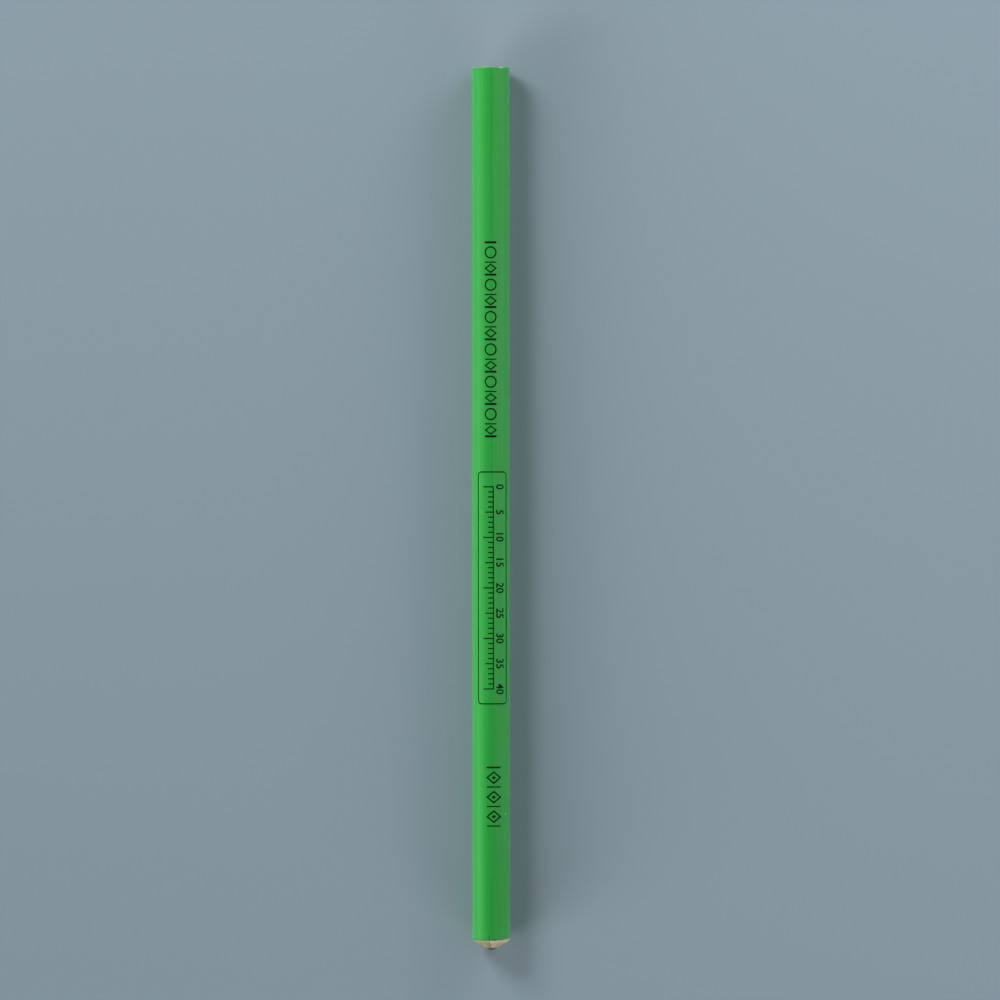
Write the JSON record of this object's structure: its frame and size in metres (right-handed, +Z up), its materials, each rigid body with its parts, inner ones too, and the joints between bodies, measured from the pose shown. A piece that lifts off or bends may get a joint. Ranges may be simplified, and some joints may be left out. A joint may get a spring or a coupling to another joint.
{
  "type": "round wooden pencil",
  "caption": "Round green-lacquered wooden pencil with a thin grey core, a flat tail and a shallow bare cone at the writing end.",
  "frame": {"origin": "on the surface that the pencil lies on, under the middle of its length and its axis", "axes": "+Y along the pencil towards the flat tail, so the cone points to -Y; +X to the right as seen from above with the tail away; +Z up, away from the surface"},
  "size_m": [0.0074, 0.175, 0.0075],
  "materials": {
    "graphite": "dull grey, fired clay and graphite",
    "casing_wood": "raw, fine straight grain",
    "glue": "dried film",
    "filler": "matt pale filler",
    "green_lacquer": "high gloss"
  },
  "bodies": {
    "root": {"graphite_core": "graphite", "casing_left": "casing_wood", "casing_right": "casing_wood", "glue_film": "glue", "undercoat": "filler", "lacquer": "green_lacquer"}
  },
  "joints": []
}
